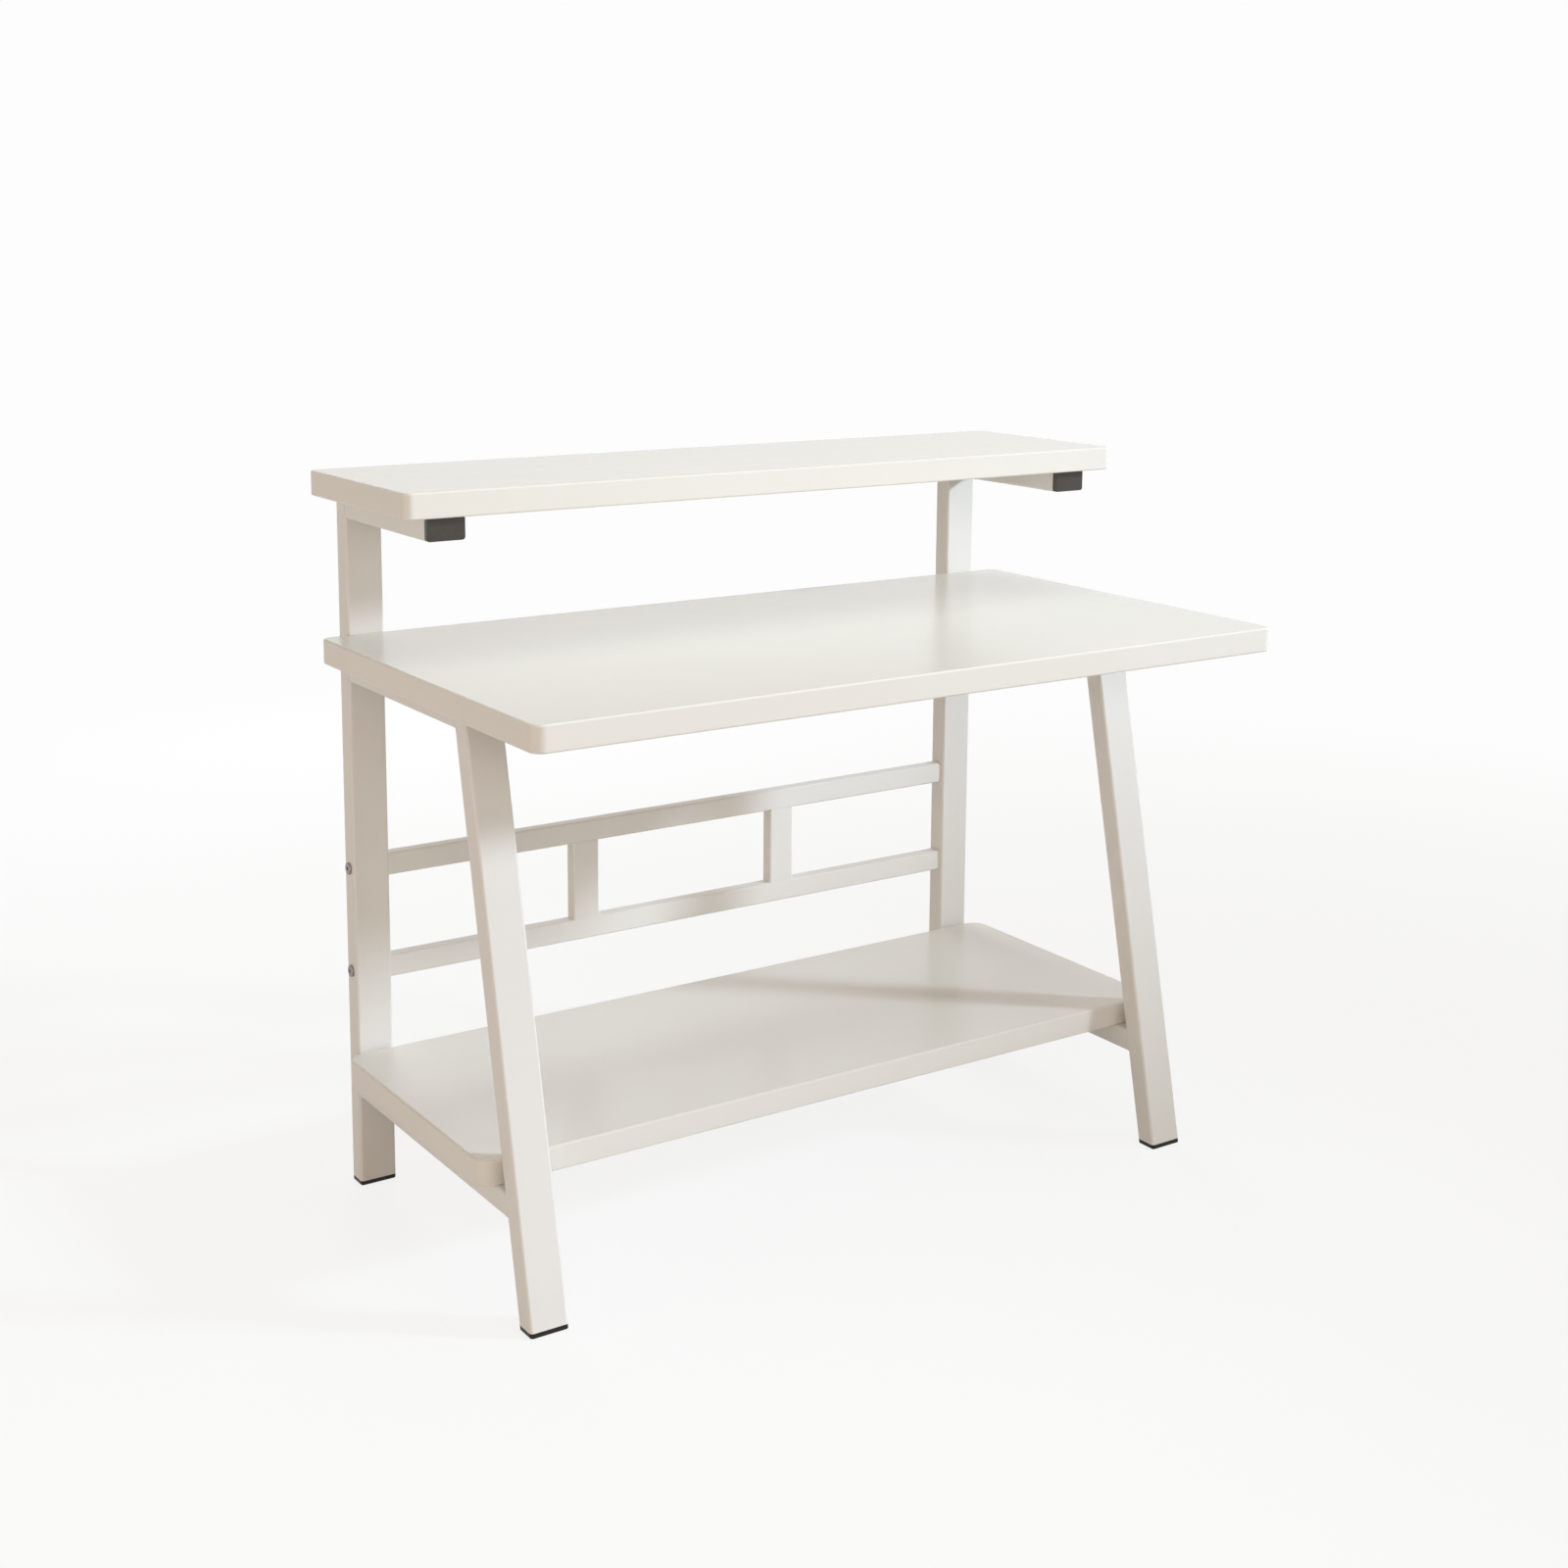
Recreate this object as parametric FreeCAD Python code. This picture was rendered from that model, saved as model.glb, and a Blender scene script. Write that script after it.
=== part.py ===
import FreeCAD, Part
import math
import os

Vector = FreeCAD.Vector

# Computer desk with two welded side frames, three thick boards and a bolted back frame.
# Millimetres. X runs along the desk, Y from front to back, Z up.
# The origin is on the floor, in the middle of the desk's footprint.

# Boards
desktop_width = 1100.0
desktop_depth = 590.0
desktop_height = 750.0
upper_shelf_depth = 296.0
lower_shelf_height = 188.0
board_thickness = 32.0
desktop_core_radius = 13.0
upper_shelf_core_radius = 9.0
lower_shelf_core_radius = 21.0
edge_band_thickness = 3.0
edge_band_round = 2.5
round_limit_share = 0.9

# How the boards sit on the frame: ends past the frame, gaps to its tubes, room over the desktop
desktop_overhang = 39.0
upper_shelf_overhang = 36.0
lower_shelf_overhang = 20.0
desktop_post_gap = 1.0
lower_shelf_post_gap = 5.0
lower_shelf_leg_gap = 13.0
raised_shelf_room = 150.0

# Side frames, all of one size of tube
tube_width = 50.0
tube_depth = 30.0
tube_wall = 1.5
tube_bore_radius = 2.5
leg_foot_reach = 491.0
leg_top_reach = 337.0
arm_setback = 18.0

# Back frame
upper_rail_height = 436.0
lower_rail_height = 296.0
rail_face = 30.0
rail_depth = 20.0
rail_wall = 1.2
rail_bore_radius = 1.8
strut_spacing = 328.0
strut_width = 40.0

# Moulded feet and end plugs
foot_thickness = 6.0
plug_thickness = 8.0
moulding_round = 1.2
shank_length = 20.0
shank_wall = 2.5
shank_clearance = 0.15
fin_count = 3
fin_thickness = 1.6
fin_depth = 1.8

# Bolts, nut blocks and threaded inserts
bolt_radius = 3.0
bolt_reach = 12.0
bolt_head_radius = 8.0
bolt_head_thickness = 3.0
bolt_head_round = 1.2
bolt_socket_flats = 4.0
bolt_socket_depth = 1.8
bolt_hole_clearance = 0.5
bolt_end_margin = 40.0
thread_clearance = 0.05
nut_block_thickness = 10.0
nut_block_clearance = 0.1
insert_radius = 5.0
insert_past_bolt = 1.0
insert_clearance = 0.1
insert_pocket_spare = 2.0

# One overrun serves every cut that has to pass right through.
overrun = 5.0

# Places worked out from the sizes above
sides = {"left": -1, "right": 1}
frame_width = desktop_width - 2 * desktop_overhang
upper_shelf_width = frame_width + 2 * upper_shelf_overhang
lower_shelf_width = frame_width + 2 * lower_shelf_overhang
tube_corner_radius = tube_bore_radius + tube_wall
frame_x = frame_width / 2 - tube_width / 2
inner_x = frame_width / 2 - tube_width
post_front = (desktop_depth + desktop_post_gap - tube_depth) / 2
post_rear = post_front + tube_depth
post_middle = post_front + tube_depth / 2
desktop_rear = post_front - desktop_post_gap
upper_shelf_rear = post_rear
lower_shelf_rear = post_front - lower_shelf_post_gap
desktop_underside = desktop_height - board_thickness
upper_shelf_underside = desktop_height + raised_shelf_room + tube_depth
lower_shelf_underside = lower_shelf_height - board_thickness
arm_front = upper_shelf_rear - upper_shelf_depth + arm_setback
lean = math.atan2(leg_foot_reach - leg_top_reach, desktop_underside)
insert_length = bolt_reach + insert_past_bolt


def moved(shape, x, y, z):
    return shape.translated(Vector(x, y, z))


def laid_forward(shape):
    """An upright shape laid down to run to the front, with its depth standing up."""
    return shape.rotated(Vector(0, 0, 0), Vector(1, 0, 0), 90)


def laid_across(shape, side=1):
    """An upright shape laid down to run to the right, or to the left for side -1."""
    return shape.rotated(Vector(0, 0, 0), Vector(0, 1, 0), side * 90)


def rounded_rectangle(width, depth, radius):
    """Face in the XY plane, centred on the origin, with four round corners."""
    corners = [(1, 1), (-1, 1), (-1, -1), (1, -1)]
    arcs = []
    for turn, (side_x, side_y) in enumerate(corners):
        centre = Vector(side_x * (width / 2 - radius), side_y * (depth / 2 - radius), 0)
        arcs.append(Part.makeCircle(radius, centre, Vector(0, 0, 1), 90 * turn, 90 * (turn + 1)))
    edges = []
    for arc, following in zip(arcs, arcs[1:] + arcs[:1]):
        edges.append(arc)
        edges.append(Part.makeLine(arc.lastVertex().Point, following.firstVertex().Point))
    return Part.Face(Part.Wire(edges))


def rounded_bar(width, depth, radius, length):
    """Solid bar with round corners, standing on the XY plane."""
    return rounded_rectangle(width, depth, radius).extrude(Vector(0, 0, length))


def tube(width, depth, wall, bore_radius, length):
    """Hollow tube standing on the XY plane, its width along X and its depth along Y."""
    outer = rounded_rectangle(width, depth, bore_radius + wall)
    bore = rounded_rectangle(width - 2 * wall, depth - 2 * wall, bore_radius)
    return outer.cut(bore).extrude(Vector(0, 0, length)).Solids[0]


def frame_tube(length):
    """A length of the side frames' tube, standing on the XY plane."""
    return tube(tube_width, tube_depth, tube_wall, tube_bore_radius, length)


def between_heights(shape, low, high):
    """The stretch of a shape between two level planes."""
    box = shape.BoundBox
    slab = Part.makeBox(box.XLength, box.YLength, high - low, Vector(box.XMin, box.YMin, low))
    return shape.common(slab).Solids[0]


# Boards and their edge bands

def board_core(width, depth, radius, insert_places):
    """Board inside its edge band, underside at Z 0, with a pocket for each threaded insert."""
    core = rounded_bar(
        width - 2 * edge_band_thickness, depth - 2 * edge_band_thickness, radius, board_thickness
    )
    for x, y in insert_places:
        pocket = Part.makeCylinder(insert_radius + insert_clearance, insert_length + insert_pocket_spare)
        core = core.cut(moved(pocket, x, y, 0))
    return core


def edge_band(width, depth, radius):
    """Band round a board, underside at Z 0, with soft outer edges."""
    band = tube(width, depth, edge_band_thickness, radius, board_thickness)
    soft_edges = []
    for face in band.Faces:
        if round(abs(face.normalAt(0, 0).z)) == 1:
            soft_edges.extend(face.OuterWire.Edges)
    return band.makeFillet(min(edge_band_round, round_limit_share * edge_band_thickness), soft_edges)


# Tubes of the side frames

def rear_post(side):
    """Upright tube from its foot to the upper shelf, drilled for the back frame's bolts."""
    post = frame_tube(upper_shelf_underside - foot_thickness)
    post = moved(post, side * frame_x, post_middle, foot_thickness)
    for height in (upper_rail_height, lower_rail_height):
        hole = laid_across(Part.makeCylinder(bolt_radius + bolt_hole_clearance, tube_width + 2 * overrun))
        post = post.cut(moved(hole, side * frame_x - tube_width / 2 - overrun, post_middle, height))
    return post


def leg_front(height):
    """Y of the front leg's front face at a height above the floor."""
    return post_front - leg_foot_reach + height * math.tan(lean)


def leg_rear(height):
    """Y of the front leg's rear face at a height above the floor."""
    return leg_front(height) + tube_depth / math.cos(lean)


def leaned(shape, side):
    """A shape drawn upright about the leg's centre line, set on that line."""
    shape = shape.rotated(Vector(0, 0, 0), Vector(1, 0, 0), -math.degrees(lean))
    half_depth = tube_depth / 2
    y = leg_front(0) + half_depth * math.cos(lean)
    return moved(shape, side * frame_x, y, -half_depth * math.sin(lean))


# The leg is drawn too long at both ends and then cut level.
leg_spare = tube_depth * math.tan(lean) + overrun
leg_uncut_length = desktop_underside / math.cos(lean) + 2 * leg_spare


def front_leg(side):
    """Leaning tube, cut level at its foot and under the desktop."""
    uncut = moved(frame_tube(leg_uncut_length), 0, 0, -leg_spare)
    return between_heights(leaned(uncut, side), foot_thickness, desktop_underside)


def space_ahead_of_leg_rear(side):
    """Block whose rear face lies in the plane of the leg's rear face."""
    width = tube_width + 2 * overrun
    block = Part.makeBox(width, leg_foot_reach, leg_uncut_length)
    return leaned(moved(block, -width / 2, tube_depth / 2 - leg_foot_reach, -leg_spare), side)


def bearer(side, top):
    """Level tube under a board, from the post's front face to the leg's rear face."""
    uncut = laid_forward(frame_tube(post_front - leg_front(top - tube_depth)))
    uncut = moved(uncut, side * frame_x, post_front, top - tube_depth / 2)
    return uncut.cut(space_ahead_of_leg_rear(side))


def shelf_arm(side):
    """Level tube that stands forward from the top of the post, up to its end plug."""
    arm = laid_forward(frame_tube(post_front - arm_front - plug_thickness))
    return moved(arm, side * frame_x, post_front, upper_shelf_underside - tube_depth / 2)


def drilled(level_tube, places):
    """A bearer or arm with a hole up through it at each bolt."""
    box = level_tube.BoundBox
    for x, y in places:
        hole = Part.makeCylinder(bolt_radius + bolt_hole_clearance, box.ZLength + 2 * overrun)
        level_tube = level_tube.cut(moved(hole, x, y, box.ZMin - overrun))
    return level_tube


# Tubes of the back frame

def back_rail(height):
    """Level tube from post to post."""
    rail = laid_across(tube(rail_face, rail_depth, rail_wall, rail_bore_radius, 2 * inner_x))
    return moved(rail, -inner_x, post_middle, height)


def back_strut(side):
    """Short upright tube between the two rails."""
    low = lower_rail_height + rail_face / 2
    high = upper_rail_height - rail_face / 2
    strut = tube(strut_width, rail_depth, rail_wall, rail_bore_radius, high - low)
    return moved(strut, side * strut_spacing / 2, post_middle, low)


# Moulded feet and end plugs

def finned_shank(sunk):
    """Hollow shank with fins that grip the tube's bore, standing on Z 0 and sunk below it."""
    fin_width = tube_width - 2 * tube_wall - 2 * shank_clearance
    fin_across = tube_depth - 2 * tube_wall - 2 * shank_clearance
    core_width = fin_width - 2 * fin_depth
    core_across = fin_across - 2 * fin_depth
    core = rounded_bar(core_width, core_across, tube_bore_radius, shank_length + sunk)
    fin = rounded_bar(fin_width, fin_across, tube_bore_radius, fin_thickness)
    pitch = shank_length / fin_count
    fins = [moved(fin, 0, 0, pitch * (place + 1) - fin_thickness) for place in range(fin_count)]
    hollow = rounded_bar(
        core_width - 2 * shank_wall, core_across - 2 * shank_wall, tube_bore_radius, shank_length + sunk
    )
    return moved(core, 0, 0, -sunk).fuse(fins).cut(moved(hollow, 0, 0, -sunk))


def softened_below(head):
    """A plug's head with the edges of its lower face rounded."""
    lowest = min(corner.Z for corner in head.Vertexes)
    edges = [edge for edge in head.Edges if edge.CenterOfMass.z < lowest + moulding_round]
    return head.makeFillet(moulding_round, edges)


def end_plug(head_thickness):
    """Plug for a square-cut tube, its outer face at Z 0 and its shank above."""
    head = rounded_bar(tube_width, tube_depth, tube_corner_radius, head_thickness)
    return softened_below(head).fuse(moved(finned_shank(0), 0, 0, head_thickness)).removeSplitter()


def arm_plug(side):
    """End plug in the front end of a shelf arm."""
    plug = end_plug(plug_thickness).rotated(Vector(0, 0, 0), Vector(1, 0, 0), -90)
    return moved(plug, side * frame_x, arm_front, upper_shelf_underside - tube_depth / 2)


def rear_foot(side):
    """Foot cap under a rear post."""
    return moved(end_plug(foot_thickness), side * frame_x, post_middle, 0)


def front_foot(side):
    """Foot cap under a leaning leg: a level sole, and a shank along the leg."""
    sole = rounded_bar(tube_width, tube_depth, tube_corner_radius, 2 * leg_spare + foot_thickness)
    sole = between_heights(leaned(moved(sole, 0, 0, -leg_spare), side), 0, foot_thickness)
    seat = (foot_thickness + tube_depth / 2 * math.sin(lean)) / math.cos(lean)
    shank = leaned(moved(finned_shank(leg_spare), 0, 0, seat), side)
    shank = between_heights(shank, foot_thickness, shank.BoundBox.ZMax)
    return softened_below(sole).fuse(shank).removeSplitter()


# Bolts, nut blocks and threaded inserts

def bolt(grip):
    """Flat-headed bolt with a hexagon socket, pointing up, with its head just under Z 0."""
    head = Part.makeCylinder(bolt_head_radius, bolt_head_thickness)
    rim = [edge for edge in head.Edges if edge.BoundBox.ZMax < bolt_head_round]
    head = head.makeFillet(bolt_head_round, rim)
    socket_radius = bolt_socket_flats / math.sqrt(3)
    corners = []
    for corner in range(7):
        turn = math.radians(60 * corner)
        corners.append(Vector(socket_radius * math.cos(turn), socket_radius * math.sin(turn), 0))
    socket = Part.Face(Part.makePolygon(corners)).extrude(Vector(0, 0, bolt_socket_depth))
    shank = Part.makeCylinder(bolt_radius, bolt_head_thickness + grip + bolt_reach)
    return moved(head.fuse(shank).cut(socket), 0, 0, -bolt_head_thickness)


def board_bolt_places(rear, front):
    """Where a board's bolts stand, two on each side frame."""
    rows = (rear - bolt_end_margin, front + bolt_end_margin)
    return [(side * frame_x, y) for side in sides.values() for y in rows]


def board_bolts(places, underside):
    """Bolts up through the bearers or arms into a board."""
    return Part.makeCompound([moved(bolt(tube_depth), x, y, underside - tube_depth) for x, y in places])


def board_inserts(places, underside):
    """Threaded inserts in a board's underside."""
    sleeve = Part.makeCylinder(insert_radius, insert_length)
    sleeve = sleeve.cut(Part.makeCylinder(bolt_radius + thread_clearance, insert_length))
    return Part.makeCompound([moved(sleeve, x, y, underside) for x, y in places])


def rail_bolts():
    """Bolts in through the posts into the ends of the rails."""
    bolts = []
    for side in sides.values():
        for height in (upper_rail_height, lower_rail_height):
            inward = laid_across(bolt(tube_width), -side)
            bolts.append(moved(inward, side * frame_width / 2, post_middle, height))
    return Part.makeCompound(bolts)


def rail_nut_blocks():
    """Threaded blocks fixed inside the ends of the rails."""
    block = rounded_bar(
        rail_face - 2 * rail_wall - 2 * nut_block_clearance,
        rail_depth - 2 * rail_wall - 2 * nut_block_clearance,
        rail_bore_radius, nut_block_thickness,
    )
    block = block.cut(Part.makeCylinder(bolt_radius + thread_clearance, nut_block_thickness))
    blocks = []
    for side in sides.values():
        for height in (upper_rail_height, lower_rail_height):
            blocks.append(moved(laid_across(block, -side), side * inner_x, post_middle, height))
    return Part.makeCompound(blocks)


# The whole desk: each board is bolted down through the tubes under it.

lower_shelf_front = leg_rear(lower_shelf_height) + lower_shelf_leg_gap
lower_shelf_depth = lower_shelf_rear - lower_shelf_front
desktop_bolt_places = board_bolt_places(desktop_rear, leg_rear(desktop_underside - tube_depth))
upper_shelf_bolt_places = board_bolt_places(post_front, arm_front + plug_thickness)
lower_shelf_bolt_places = board_bolt_places(lower_shelf_rear, lower_shelf_front)

boards = {
    "desktop": (
        desktop_width, desktop_depth, desktop_core_radius,
        desktop_rear, desktop_underside, desktop_bolt_places,
    ),
    "upper_shelf": (
        upper_shelf_width, upper_shelf_depth, upper_shelf_core_radius,
        upper_shelf_rear, upper_shelf_underside, upper_shelf_bolt_places,
    ),
    "lower_shelf": (
        lower_shelf_width, lower_shelf_depth, lower_shelf_core_radius,
        lower_shelf_rear, lower_shelf_underside, lower_shelf_bolt_places,
    ),
}

pieces = {}
for name, (width, depth, radius, rear, underside, places) in boards.items():
    middle = rear - depth / 2
    core_places = [(x, y - middle) for x, y in places]
    core = board_core(width, depth, radius, core_places)
    band = edge_band(width, depth, radius)
    pieces[name + "_board"] = moved(core, 0, middle, underside)
    pieces[name + "_edge_band"] = moved(band, 0, middle, underside)
    pieces[name + "_bolts"] = board_bolts(places, underside)
    pieces[name + "_inserts"] = board_inserts(places, underside)

for name, side in sides.items():
    desk_bearer = bearer(side, desktop_underside)
    shelf_bearer = bearer(side, lower_shelf_underside)
    pieces[name + "_rear_post"] = rear_post(side)
    pieces[name + "_front_leg"] = front_leg(side)
    pieces[name + "_desk_bearer"] = drilled(desk_bearer, desktop_bolt_places)
    pieces[name + "_shelf_bearer"] = drilled(shelf_bearer, lower_shelf_bolt_places)
    pieces[name + "_shelf_arm"] = drilled(shelf_arm(side), upper_shelf_bolt_places)
    pieces[name + "_arm_plug"] = arm_plug(side)
    pieces[name + "_rear_foot"] = rear_foot(side)
    pieces[name + "_front_foot"] = front_foot(side)
    pieces[name + "_back_strut"] = back_strut(side)

pieces["back_upper_rail"] = back_rail(upper_rail_height)
pieces["back_lower_rail"] = back_rail(lower_rail_height)
pieces["rail_bolts"] = rail_bolts()
pieces["rail_nut_blocks"] = rail_nut_blocks()

os.makedirs("parts", exist_ok=True)
for name, shape in pieces.items():
    shape.exportStep(os.path.join("parts", name + ".step"))
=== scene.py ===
import bmesh
import bpy
import math
from mathutils import Matrix, Vector


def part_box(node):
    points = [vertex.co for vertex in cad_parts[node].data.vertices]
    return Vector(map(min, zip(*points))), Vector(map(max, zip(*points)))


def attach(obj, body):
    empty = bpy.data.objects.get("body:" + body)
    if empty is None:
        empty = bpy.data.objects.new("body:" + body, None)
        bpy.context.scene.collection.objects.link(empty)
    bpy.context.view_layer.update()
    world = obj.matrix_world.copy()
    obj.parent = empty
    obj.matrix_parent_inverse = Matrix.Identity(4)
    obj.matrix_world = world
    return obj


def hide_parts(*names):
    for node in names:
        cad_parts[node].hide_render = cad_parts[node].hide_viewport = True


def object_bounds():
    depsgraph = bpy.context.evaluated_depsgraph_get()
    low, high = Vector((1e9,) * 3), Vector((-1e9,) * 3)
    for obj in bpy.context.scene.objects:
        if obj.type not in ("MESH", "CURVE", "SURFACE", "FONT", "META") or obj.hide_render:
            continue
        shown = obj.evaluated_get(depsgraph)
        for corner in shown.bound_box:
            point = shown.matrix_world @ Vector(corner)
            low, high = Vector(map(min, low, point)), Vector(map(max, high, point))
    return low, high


# A cream computer desk: three thick boards on two welded tube frames, with a bolted back frame.
# Metres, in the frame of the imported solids: X along the desk, Y from front to back, Z up.

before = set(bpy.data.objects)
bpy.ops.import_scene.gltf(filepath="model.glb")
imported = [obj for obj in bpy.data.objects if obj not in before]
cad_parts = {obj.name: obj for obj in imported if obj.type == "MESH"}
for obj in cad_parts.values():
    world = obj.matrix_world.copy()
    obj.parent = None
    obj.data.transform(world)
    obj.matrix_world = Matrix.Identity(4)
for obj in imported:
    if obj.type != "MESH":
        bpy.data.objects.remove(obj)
cad_low, cad_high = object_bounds()
desk_middle = (cad_low + cad_high) / 2

# Pieces that come more than once
BOARDS = ("desktop", "upper_shelf", "lower_shelf")
SIDES = ("left", "right")
RAILS = ("back_upper_rail", "back_lower_rail")
ZINC_PIECES = ("desktop_inserts", "upper_shelf_inserts", "lower_shelf_inserts", "rail_nut_blocks")

# Directions, and the cosines above which one counts as along or nearly along another
X_AXIS, Y_AXIS, Z_AXIS = 0, 1, 2
UP, DOWN = Vector((0, 0, 1)), Vector((0, 0, -1))
SWAP_Y_AND_Z = Matrix(((1, 0, 0, 0), (0, 0, 1, 0), (0, 1, 0, 0), (0, 0, 0, 1)))
PARALLEL = 0.99
NEARLY_PARALLEL = 0.9

# All modelled pieces
MERGE_DISTANCE = 1e-6
ROUND_PROFILE = 0.5
CHAMFER_STEPS = 1
SMOOTH_ANGLE = math.radians(35)

# Tubes
TUBE_ROUND = 0.004
TUBE_WALL = 0.0015
RAIL_ROUND = 0.003
RAIL_WALL = 0.0012
ROUND_STEPS = 6

# Boards and their edge bands
BAND_EDGE_ROUND = 0.0025
BAND_EDGE_STEPS = 5
SEAM_CHAMFER = 0.00025
BOARD_CORNER_STEPS = 14
BAND_CORNER = {"desktop": 0.016, "upper_shelf": 0.012, "lower_shelf": 0.024}

# Moulded plugs and feet
PLUG_RIM_ROUND = 0.0013
PLUG_RIM_STEPS = 4
PLUG_CROWN = 0.0006
PLUG_CROWN_MARGIN = 0.0022
SOLE_RECESS = 0.0008
SOLE_RECESS_MARGIN = 0.0022
SHANK_INSET = 0.0035
FIN_COUNT = 3
FIN_THICKNESS = 0.0016
FIN_DEPTH = 0.0018

# Bolts
BOLT_HEAD_RADIUS = 0.008
BOLT_HEAD_THICKNESS = 0.003
BOLT_RIM_ROUND = 0.0016
BOLT_RIM_STEPS = 5
BOLT_SOCKET_RADIUS = 0.0025
BOLT_SOCKET_DEPTH = 0.0018
BOLT_SOCKET_SIDES = 6
BOLT_SHANK_RADIUS = 0.003
BOLT_SIDES = 48
RAIL_BOLT_LENGTH = 0.062

# Weld beads: those along a flush seam are sunk in, and reach a little over the tube that they end on
BEAD_RADIUS = 0.0021
BEAD_ROUND_STEPS = 2
SEAM_BEAD_RADIUS = 0.0018
SEAM_BEAD_SET_IN = 0.0016
SEAM_BEAD_REACH = 0.0008
STRUT_BEAD_SHARE = 0.75
BEAD_RIPPLE_PITCH = 0.0021
BEAD_RIPPLE_SHARE = 0.1
BEAD_LEAST_RIPPLES = 3
BEAD_END_SHARE = 0.55

# Finishes: linear colours, noise in lumps to the metre, and the roughness that each noise adds

# Laminate of the boards
CREAM = (0.795, 0.770, 0.716, 1)
CREAM_DEEP = (0.778, 0.749, 0.688, 1)
LAMINATE_CLOUD = {"scale": 4.0, "detail": 3.0}
LAMINATE_GRAIN = {"scale": 650.0, "detail": 3.0}
LAMINATE_HANDLING = {"scale": 22.0, "detail": 5.0}
LAMINATE_CLOUD_SHARE = 0.8
LAMINATE_GRAIN_SHARE = 0.2
LAMINATE_ROUGHNESS = 0.17
LAMINATE_HANDLING_ROUGHNESS = 0.05
LAMINATE_GRAIN_ROUGHNESS = 0.05
LAMINATE_RELIEF = {"depth": 0.00006, "strength": 0.5}

# Plastic of the edge bands
BAND_CREAM = (0.795, 0.768, 0.711, 1)
BAND_CREAM_DEEP = (0.778, 0.745, 0.681, 1)
BAND_CLOUD = {"scale": 9.0, "detail": 3.0}
BAND_DRAWN = {"scale": 180.0, "detail": 4.0}
BAND_ROUGHNESS = 0.26
BAND_DRAWN_ROUGHNESS = 0.12
BAND_RELIEF = {"depth": 0.00008, "strength": 0.4}

# Powder coat of the frame
PAINT_WHITE = (0.795, 0.778, 0.737, 1)
PAINT_DEEP = (0.776, 0.755, 0.709, 1)
PAINT_CLOUD = {"scale": 7.0, "detail": 3.0}
PAINT_PEEL = {"scale": 330.0, "detail": 2.0}
PAINT_CLOUD_SHARE = 0.85
PAINT_PEEL_SHARE = 0.15
PAINT_ROUGHNESS = 0.30
PAINT_CLOUD_ROUGHNESS = 0.08
PAINT_PEEL_ROUGHNESS = 0.06
PAINT_RELIEF = {"depth": 0.00016, "strength": 0.55}

# Black plastic of the plugs and feet
PLUG_BLACK = (0.036, 0.031, 0.026, 1)
PLUG_BLACK_DUSTY = (0.062, 0.055, 0.046, 1)
FOOT_BLACK = (0.012, 0.011, 0.010, 1)
FOOT_BLACK_DUSTY = (0.026, 0.024, 0.022, 1)
FOOT_SPECULAR_LEVEL = 0.2
PLASTIC_SKIN = {"scale": 1400.0, "detail": 2.0}
PLASTIC_DUST = {"scale": 90.0, "detail": 5.0}
PLASTIC_ROUGHNESS = 0.26
PLASTIC_DUST_ROUGHNESS = 0.16
PLASTIC_SKIN_ROUGHNESS = 0.08
PLASTIC_RELIEF = {"depth": 0.00008, "strength": 0.5}

# Dark steel of the bolts
BOLT_DARK = (0.20, 0.185, 0.17, 1)
BOLT_RUBBED = (0.36, 0.34, 0.315, 1)
BOLT_RUBBING = {"scale": 420.0, "detail": 5.0}
BOLT_ROUGHNESS = 0.24
BOLT_RUBBING_ROUGHNESS = 0.25
BOLT_METALLIC = 0.85
BOLT_RELIEF = {"depth": 0.00005, "strength": 0.5}

# Zinc of the inserts and nut blocks
ZINC = (0.62, 0.60, 0.55, 1)
ZINC_DULL = (0.45, 0.43, 0.38, 1)
ZINC_SPANGLE = {"scale": 240.0, "detail": 4.0}
ZINC_ROUGHNESS = 0.25
ZINC_SPANGLE_ROUGHNESS = 0.3
ZINC_METALLIC = 0.95
ZINC_RELIEF = {"depth": 0.00004, "strength": 0.4}

# Camera, fitted to the desk's edges in the photograph
PICTURE_PIXELS = 1600
FOCAL_PIXELS = 2239.6
AXIS_ROW_PIXELS = 592
SENSOR_MM = 36
CAMERA_PLACE = Vector((-1.5889, -2.3293, 1.2732))
CAMERA_YAW = math.radians(33.859)
CAMERA_PITCH = math.radians(-9.199)
CAMERA_ROLL = math.radians(0.4005)

# Surroundings: what the camera sees is white, and what lights the desk is dim and warm
WHITE = (1, 1, 1, 1)
WHITE_LEVEL = 0.982
AMBIENT_LEVEL = 0.281
AMBIENT_COLOUR = (1.0, 0.77, 0.58, 1)

# Floor: it shows one colour, and throws light of another back at the desk
FLOOR_SIZE = 40
FLOOR_DROP = 0.0003
FLOOR_COLOUR = (0.86, 0.86, 0.855, 1)
FLOOR_GLOW_COLOUR = (0.60, 0.56, 0.52, 1)
FLOOR_WHITE_SHARE = 0.84
FLOOR_SHADOW_NEAR = 1.0
FLOOR_SHADOW_FAR = 3.5

# Key lamp, from the right
KEY_PLACE = Vector((5.28, -3.97, 3.34))
KEY_TARGET = Vector((0.09, -1.98, 5.59))
KEY_RADIUS = 0.45
KEY_POWER = 1880
KEY_COLOUR = (0.73, 0.86, 1.0)
KEY_CONE = math.radians(104.8)
KEY_EDGE_BLEND = 0.02

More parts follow.
